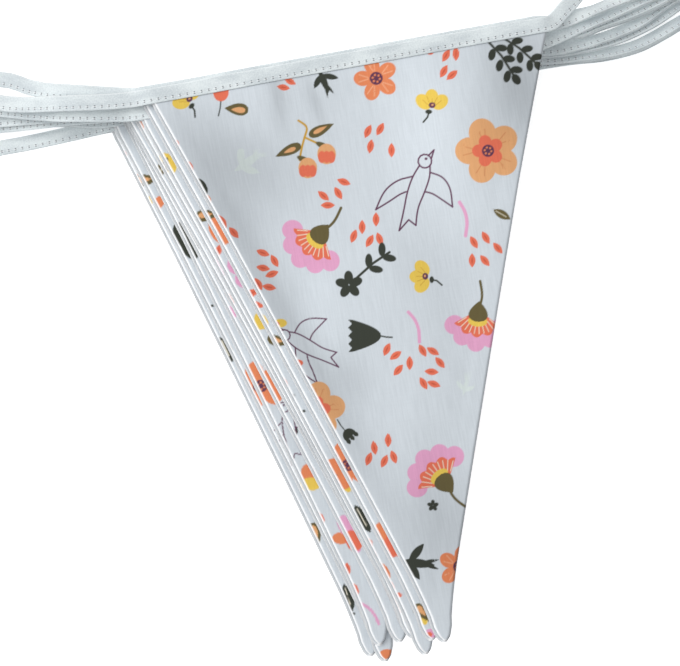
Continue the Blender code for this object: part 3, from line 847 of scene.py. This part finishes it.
def panel(level, is_front, finish):
    """One panel: a grid drawn to the pennant's outline, given its cloth's thickness and print."""
    pennant = Pennant(level)
    inset = FRONT_INSET if is_front else 0.0
    shown = level == 1 and is_front
    tip = pennant.sides(np.array([DEPTH]), inset)[2]
    rims = RIM_COLUMNS if shown else RIM_COLUMNS[:-1]
    middle_columns = MIDDLE_COLUMNS[shown]
    shares = np.linspace(0.0, 1.0, middle_columns)
    rows_down = list(np.arange(-TONGUE_DEPTH, tip - rims[-1], ROW_STEP[shown]))
    depths = np.array(rows_down + [tip - rim for rim in rims[::-1]])
    columns = 2 * len(rims) + middle_columns - 2

    bm = bmesh.new()
    bmesh.ops.create_grid(bm, x_segments=columns - 1, y_segments=len(depths) - 1, size=1.0)
    for vert in bm.verts:
        column = round((vert.co.x + 1.0) / 2.0 * (columns - 1))
        row = round((1.0 - vert.co.y) / 2.0 * (len(depths) - 1))
        depth = depths[row]
        left, right, _ = pennant.sides(np.array([depth]), inset)
        left, right = float(left[0]), float(right[0])
        scale = min(1.0, (right - left) / 2.0 / (rims[-1] * RIMS_SHARE))
        first, last = left + rims[-1] * scale, right - rims[-1] * scale
        if column < len(rims):
            sideways = left + rims[column] * scale
        elif column >= columns - len(rims):
            sideways = right - rims[columns - 1 - column] * scale
        else:
            sideways = first + (last - first) * shares[column - len(rims) + 1]
        spot = pennant.place(sideways, depth)[0]
        vert.co = (spot[0], spot[1], 0.0)
    lower = bm.verts.layers.float.new("lower")
    for vert in bm.verts:
        vert[lower] = 1.0
    raised_part = bmesh.ops.extrude_face_region(bm, geom=bm.faces[:])["geom"]
    for item in raised_part:
        if isinstance(item, bmesh.types.BMVert):
            item[lower] = 0.0

    rows = print_on(level, is_front)
    print_side = 0.0 if is_front else 1.0
    shortest = FINEST if shown else FINE
    for soft in SOFT_ROUNDS:
        spots = np.array([vert.co.xy for vert in bm.verts])
        sideways, depth = pennant.own(spots)
        colours = printed(sideways, depth, rows, soft)
        left, right, _ = pennant.sides(depth, inset)
        wanted = np.ones(len(spots), bool)
        if not shown:
            wanted = (sideways - left > STRIP_FINE[0]) & (sideways - left < STRIP_FINE[1])
        bm.verts.index_update()
        split = set()
        for face in bm.faces:
            corners = face.verts[:]
            if any(abs(vert[lower] - print_side) > 0.01 for vert in corners):
                continue
            numbers = [vert.index for vert in corners]
            if wanted[numbers].any() and np.ptp(colours[numbers], axis=0).max() > COLOUR_STEP:
                split.update(edge for edge in face.edges if edge.calc_length() > shortest)
        if not split:
            break
        in_order = [edge for edge in bm.edges if edge in split]
        bmesh.ops.subdivide_edges(bm, edges=in_order, cuts=1, use_grid_fill=True)

    spots = np.array([vert.co.xy for vert in bm.verts])
    sideways, depth = pennant.own(spots)
    left, right, _ = pennant.sides(depth, inset)
    low, high = panel_height(level, is_front, spots, sideways, depth, left, right, tip)
    colours = printed(sideways, depth, rows)
    # The top panel gets its painted light and shade; the panels under it are darkened as painted
    # shade.
    colours = shaded(sideways, depth, colours) if shown else colours * UNDER_SHADE
    inner_side = np.array([abs(vert[lower] - print_side) > 0.5 for vert in bm.verts])
    colours[inner_side] = GROUND
    # Painted highlight: the rolled left rims and the tip, lit by the window light, are painted
    # near-white.
    from_edge = np.minimum(sideways - left, tip - depth)
    rim_highlight = RIM_HIGHLIGHT_SHARE * (1.0 - eased(from_edge, *RIM_HIGHLIGHT_LINE))
    colours += rim_highlight[:, None] * (np.array(RIM_HIGHLIGHT) - colours)
    # Painted shade: the right rims, facing away from the window light, are darkened.
    colours *= 1.0 - RIGHT_RIM_SHADE * (1.0 - eased(right - sideways, *RIGHT_SHADE_LINE))[:, None]
    cloth = bm.loops.layers.uv.new("cloth")
    inks = bm.verts.layers.float_color.new("print")
    for number, vert in enumerate(bm.verts):
        z = low[number] if vert[lower] > 0.5 else high[number]
        vert.co = in_scene(vert.co.x, vert.co.y, z)
        vert[inks] = (*colours[number], 1.0)
        for loop in vert.link_loops:
            loop[cloth].uv = (sideways[number] * MM, depth[number] * MM)
    bmesh.ops.recalc_face_normals(bm, faces=bm.faces)
    name = f"pennant_{level}_{'front' if is_front else 'back'}"
    made = smooth_object(bm, name + "_cloth", finish)
    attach(made, "root")
    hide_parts(name)


printed_cotton = cotton()
for level in PLACES:
    panel(level, False, printed_cotton)
    panel(level, True, printed_cotton)

# Binding tape: one white bias strip folded lengthwise over the pennants' tops, its fold away
# from them, and stitched near its open edge. It runs on between the pennants in hairpin loops.

TAPE_WIDTH = 6.4
TAPE_WALL = 0.45
FOLD_WALL = 0.55
FOLD_HOLLOW = 0.8
SHUT_SLOT = 0.3
OPEN_SLOT = 1.9
PAST_CORNER = 1.0
SLOT_SHUTS_OVER = 5.0
LEAD = 10.0
TAPE_STEP = 3.4
HAIRPIN_STEPS = 14
LEFT_STRANDS = {
    1: [(-91.2, 89.3), (-113.0, 88.8), (-138.6, 90.5)],
    2: [(-113.6, 94.2), (-126.5, 96.7), (-139.2, 100.5)],
    3: [(-112.4, 85.7), (-139.7, 88.7)],
    4: [(-114.8, 89.3), (-140.2, 90.7)],
    5: [(-113.6, 86.8), (-140.8, 85.0)],
    6: [(-115.1, 85.3), (-141.3, 83.1)],
    7: [(-116.5, 88.7), (-141.9, 86.4)],
    8: [(-117.1, 86.0), (-142.4, 85.5)],
    9: [(-113.5, 80.3), (-130.3, 76.7), (-143.0, 74.4)],
}
RIGHT_STRANDS = {
    1: [(88.1, 122.9), (92.2, 127.6), (97.6, 133.7), (106.5, 148.0)],
    2: [(88.6, 122.0), (101.1, 127.0), (111.7, 131.8), (122.3, 135.8)],
    3: [(89.2, 117.5), (105.9, 125.1), (125.0, 134.0)],
    4: [(96.0, 120.0), (106.5, 123.9), (123.4, 130.2), (136.7, 137.1)],
    5: [(96.5, 120.0), (107.0, 123.8), (124.0, 130.0), (137.3, 136.8)],
    6: [(90.8, 114.8), (107.6, 119.0), (124.5, 126.2), (137.8, 135.6)],
    7: [(94.3, 114.8), (112.4, 118.6), (129.2, 125.9), (141.8, 134.3)],
    8: [(91.9, 112.4), (108.8, 113.7), (125.6, 118.1), (142.4, 127.4)],
    9: [(92.5, 111.9), (109.3, 113.3), (126.1, 117.6), (143.0, 126.9)],
}
LEFT_HAIRPINS = [
    (1, -169.5, 98.5, 177.0), (3, -175.0, 92.0, 177.0), (5, -180.0, 80.0, 187.0),
    (7, -184.0, 84.0, 182.0),
]
RIGHT_HAIRPINS = [
    (2, 163.0, 150.0, 24.0), (4, 156.3, 148.0, 28.0), (6, 157.0, 144.5, 33.0),
    (8, 158.0, 136.0, 29.0),
]
LEFT_TAIL = (-172.0, 69.0)
RIGHT_TAIL = (112.5, 163.0)
TILT = math.radians(40.0)
TILT_RISES = (108.0, 124.0)
TILT_FALLS = (9.0, 1.5)
TAIL_DROOPS = (136.0, 158.0)
STITCH_FROM_EDGE = 1.4
STITCH_PITCH = 2.9
EDGE_ROUND = 0.3
EDGE_THICKNESS = 0.45  # the raw edge's share of the wall
FOLD_ROUND = 1.0
STITCH_DIMPLE = 0.10
DIMPLE_WIDTH = 0.3
CROWN = 0.10
TAPE_GREY = (*linear(188, 196, 200), 1.0)
TAPE_WHITE = (*linear(222, 229, 230), 1.0)
HOLE_SHADE = (*linear(84, 90, 96), 1.0)
FOLD_HIGHLIGHT = (*linear(250, 252, 252), 1.0)
UP = Vector((0.0, 0.0, 1.0))
# mm from the tape's open edge
TAPE_SECTION = [0.0, 0.1, 0.3, 0.7, 1.1, 1.4, 1.7, 2.2, 3.0, 4.0, 5.0, 5.6, 6.0, 6.25, 6.4]


def curve_through(points, step):
    """Points about a step apart on a smooth curve. The first point only gives it its heading."""
    points = [Vector((x, y, 0.0)) for x, y in points]
    points.append(2 * points[-1] - points[-2])
    made = [points[1]]
    for before, begin, end, after in zip(points, points[1:], points[2:], points[3:]):
        count = max(1, math.ceil((end - begin).length / step))
        for n in range(1, count + 1):
            t = n / count
            bend = (2 * before - 5 * begin + 4 * end - after) * t**2
            bend += (3 * begin - before - 3 * end + after) * t**3
            made.append(0.5 * (2 * begin + (end - before) * t + bend))
    return made


class Station:
    """One section of the tape: its open edge, its heading, its width's and its face's way."""

    def __init__(self, point, heading, width_way, face_way, slot):
        self.point = point
        self.heading = heading
        self.width_way = width_way
        self.face_way = face_way
        self.slot = slot

    def section(self):
        """The folded strip's U: round its outside, then back round its inside."""
        inner = self.slot / 2
        outside, inside = [], []
        for w in TAPE_SECTION:
            round_edge = math.sqrt(max(0.0, 1.0 - (1.0 - min(w, EDGE_ROUND) / EDGE_ROUND) ** 2))
            fold = math.sqrt(max(0.0, 1.0 - (max(0.0, w - TAPE_WIDTH + FOLD_ROUND)) ** 2))
            dimple = STITCH_DIMPLE * math.exp(-(((w - STITCH_FROM_EDGE) / DIMPLE_WIDTH) ** 2))
            crown = CROWN * math.sin(math.pi * w / TAPE_WIDTH)
            wall = TAPE_WALL * (EDGE_THICKNESS + (1.0 - EDGE_THICKNESS) * round_edge)
            height = (inner + wall + crown - dimple) * fold
            outside.append((w, height))
            reach = w * (1.0 - FOLD_WALL / TAPE_WIDTH)
            near_fold = max(0.0, reach - TAPE_WIDTH + FOLD_WALL + FOLD_HOLLOW) / FOLD_HOLLOW
            inside.append((reach, inner * math.sqrt(max(0.0, 1.0 - near_fold**2))))
        shape = outside + [(w, -n) for w, n in outside[-2::-1]]
        shape += [(w, -n) for w, n in inside] + [(w, n) for w, n in inside[-2::-1]]
        return [self.point + self.width_way * w + self.face_way * n for w, n in shape]


def upper_side(heading):
    """The way across the tape in plan, towards its fold."""
    way = Vector((-heading.y, heading.x, 0.0))
    c, s = direction(STACK_TURN)
    return way if way.dot(Vector((-s, c, 0.0))) > 0 else -way


def station(level, point, heading, slot, tilt=0.0, droop=1.0):
    face = 1.0 if level % 2 else -1.0
    side = upper_side(heading)
    width_way = side * math.cos(tilt) - UP * math.sin(tilt)
    face_way = (UP * math.cos(tilt) + side * math.sin(tilt)) * face
    height = float(base_height(level, point.x, point.y)) * droop + slot / 2 + TAPE_WALL
    height += TAPE_WIDTH * math.sin(tilt)
    return Station(Vector((point.x, point.y, height)), heading, width_way, face_way, slot)


def strand(pennant, is_left, hairpin, tail):
    """Stations beside the pennant, from its corner out to the hairpin or the free end."""
    level = pennant.level
    corner_at = -PAST_CORNER if is_left else TOP_WIDTH + PAST_CORNER
    inner_at = LEAD if is_left else TOP_WIDTH - LEAD
    route = (LEFT_STRANDS if is_left else RIGHT_STRANDS)[level]
    points = [tuple(pennant.place(at, 0.0)[0]) for at in (inner_at, corner_at)] + route
    if hairpin:
        end, heading = hairpin
        points += [tuple((end - heading * LEAD).xy), tuple(end.xy)]
    else:
        points.append(tail)
    made = []
    spots = curve_through(points, TAPE_STEP)
    travelled = 0.0
    for before, spot, after in zip(spots, spots[1:], spots[2:] + [2 * spots[-1] - spots[-2]]):
        travelled += (spot - before).length
        heading = (after - before).normalized()
        shut = float(eased(travelled, 0.0, SLOT_SHUTS_OVER))
        slot = OPEN_SLOT + (SHUT_SLOT - OPEN_SLOT) * shut
        tilt, droop = 0.0, 1.0
        if not is_left and hairpin:
            left_over = (hairpin[0] - spot).length
            c, s = direction(STACK_TURN)
            along = spot.x * c + spot.y * s
            tilt = TILT * float(eased(along, *TILT_RISES))
            tilt *= 1.0 - float(eased(-left_over, -TILT_FALLS[0], -TILT_FALLS[1]))
        elif not is_left:
            droop = 1.0 - float(eased(spot.y, *TAIL_DROOPS))
        made.append(station(level, spot, heading, slot, tilt, droop))
    return made


def hairpin_turn(upper, lower):
    """Stations round the loop's end, from the upper level's last station to the lower one's."""
    middle = (upper.point + lower.point) / 2
    radius = (upper.point.z - lower.point.z) / 2
    made = []
    for step in range(1, HAIRPIN_STEPS):
        angle = math.pi * step / HAIRPIN_STEPS
        out = upper.heading * math.sin(angle) + UP * math.cos(angle)
        face_way = out * upper.face_way.z
        point = middle + out * radius
        made.append(Station(point, upper.heading, upper.width_way, face_way, upper.slot))
    return made


def tape_route():
    """All stations from the right free end, level by level, to the left free end."""
    ends = {}
    for rows, is_left in ((LEFT_HAIRPINS, True), (RIGHT_HAIRPINS, False)):
        for level, x, y, heading in rows:
            way = Vector((*direction(heading), 0.0))
            for each in (level, level + 1):
                ends[each, is_left] = (Vector((x, y, 0.0)), way)
    route = []
    for level in PLACES:
        pennant = Pennant(level)
        left = strand(pennant, True, ends.get((level, True)), LEFT_TAIL)
        right = strand(pennant, False, ends.get((level, False)), RIGHT_TAIL)
        heading = Vector((*pennant.across, 0.0))
        count = round(TOP_WIDTH / TAPE_STEP)
        stops = np.linspace(-PAST_CORNER, TOP_WIDTH + PAST_CORNER, count)
        tops = [Vector((*pennant.place(stop, 0.0)[0], 0.0)) for stop in stops]
        over = [station(level, spot, heading, OPEN_SLOT) for spot in tops]
        whole = left[::-1] + over + right
        if level % 2:
            whole.reverse()
        if route:
            route += hairpin_turn(route[-1], whole[0])
        route += whole
    return route


def tape_cloth():
    """White bias tape: a fine plain weave, with painted shade in the hollows of its stitch line and
    a painted highlight along its fold.
    """
    made, shader, start = new_material("white binding tape")
    cloth = along_cloth(start)
    parts = start.node("ShaderNodeSeparateXYZ", {}, cloth)
    run, across = Field(start.tree, parts.outputs[0]), Field(start.tree, parts.outputs[1])
    weave = noise(start, stretched(start, cloth, (1500.0, 1500.0, 1.0)), 1.0, 3.0)
    mottle = noise(start, stretched(start, cloth, (60.0, 160.0, 1.0)), 1.0, 2.0)
    phase = (run * (1000.0 / STITCH_PITCH)).fraction()
    along_stitch = phase.apart(0.5).between(0.35, 0.44)
    on_line = (across * 1000.0).apart(STITCH_FROM_EDGE).between(0.66, 0.28)
    holes = along_stitch * on_line
    fold_highlight = (across * 1000.0).between(TAPE_WIDTH - 0.9, TAPE_WIDTH - 0.2)
    mix = mottle * 0.6 + weave * 0.4
    colour = tinted(start, mix.between(0.3, 0.7), TAPE_GREY, TAPE_WHITE)
    # Painted shade in the stitch holes.
    colour = tinted(start, holes * 0.9, colour, HOLE_SHADE)
    # Painted highlight along the tape's rolled fold.
    colour = tinted(start, fold_highlight * 0.3, colour, FOLD_HIGHLIGHT)
    to_shader(start, shader, "Base Color", colour)
    to_shader(start, shader, "Normal", raised(start, weave * 0.4 - holes, 0.5, 0.0002))
    to_shader(start, shader, "Roughness", weave * 0.15 + 0.78)
    shader.inputs["Specular IOR Level"].default_value = 0.25
    return made


route = tape_route()
around = len(route[0].section())
run = [0.0]
for before, after in zip(route, route[1:]):
    run.append(run[-1] + (after.point - before.point).length)

bm = bmesh.new()
bmesh.ops.create_grid(bm, x_segments=len(route) - 1, y_segments=around, size=1.0)
cloth = bm.loops.layers.uv.new("cloth")
sections = [stop.section() for stop in route]
widths = TAPE_SECTION + TAPE_SECTION[-2::-1] + TAPE_SECTION + TAPE_SECTION[-2::-1]
for vert in bm.verts:
    at = round((vert.co.x + 1.0) / 2.0 * (len(route) - 1))
    turn = round((vert.co.y + 1.0) / 2.0 * around)
    for loop in vert.link_loops:
        loop[cloth].uv = (run[at] * MM, widths[turn % around] * MM)
    spot = sections[at][turn % around]
    vert.co = in_scene(*spot)
bmesh.ops.remove_doubles(bm, verts=bm.verts, dist=1e-7)
cut_ends = [edge for edge in bm.edges if edge.is_boundary]
bmesh.ops.holes_fill(bm, edges=cut_ends, sides=0)
bmesh.ops.recalc_face_normals(bm, faces=bm.faces)
tape = smooth_object(bm, "binding_tape", tape_cloth())
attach(tape, "root")
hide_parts("binding")

# Stitches: one line of white thread near the tape's open edge, over its whole length, seen on
# both faces. Each stitch is a short raised loop of thread, sunk a little at its two ends.

STITCH_LENGTH = 2.35
THREAD = 0.17
THREAD_SUNK = 0.02
THREAD_WHITES = ((*linear(228, 232, 234), 1.0), (*linear(248, 250, 250), 1.0))


def stitch_places(route, run):
    """The middle of each stitch on both faces, with the ways along it and out of the cloth."""
    places = []
    at = STITCH_PITCH
    stop = 0
    while at < run[-1] - STITCH_PITCH:
        while run[stop + 1] < at:
            stop += 1
        t = (at - run[stop]) / (run[stop + 1] - run[stop])
        one, two = route[stop], route[stop + 1]
        point = one.point.lerp(two.point, t)
        width_way = one.width_way.lerp(two.width_way, t).normalized()
        face_way = one.face_way.lerp(two.face_way, t).normalized()
        slot = one.slot + (two.slot - one.slot) * t
        along = (two.point - one.point).normalized()
        for side in (1.0, -1.0):
            height = slot / 2 + TAPE_WALL - THREAD_SUNK
            middle = point + width_way * STITCH_FROM_EDGE + face_way * height * side
            places.append((middle, along, width_way, face_way))
        at += STITCH_PITCH
    return places


thread, shader, start = new_material("white thread")
twist = noise(start, object_place(start), 3000.0, 1.0)
to_shader(start, shader, "Base Color", tinted(start, twist, *THREAD_WHITES))
shader.inputs["Roughness"].default_value = 0.6

bm = bmesh.new()
for middle, along, width_way, face_way in stitch_places(route, run):
    columns = (along * (STITCH_LENGTH / 2), width_way * THREAD, face_way * THREAD)
    place = in_scene(*middle)
    whole = [[*(column[axis] * MM for column in columns), place[axis]] for axis in range(3)]
    whole.append([0.0, 0.0, 0.0, 1.0])
    bmesh.ops.create_icosphere(bm, subdivisions=1, radius=1.0, matrix=Matrix(whole))
bmesh.ops.recalc_face_normals(bm, faces=bm.faces)
stitches = smooth_object(bm, "stitches", thread)
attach(stitches, "root")
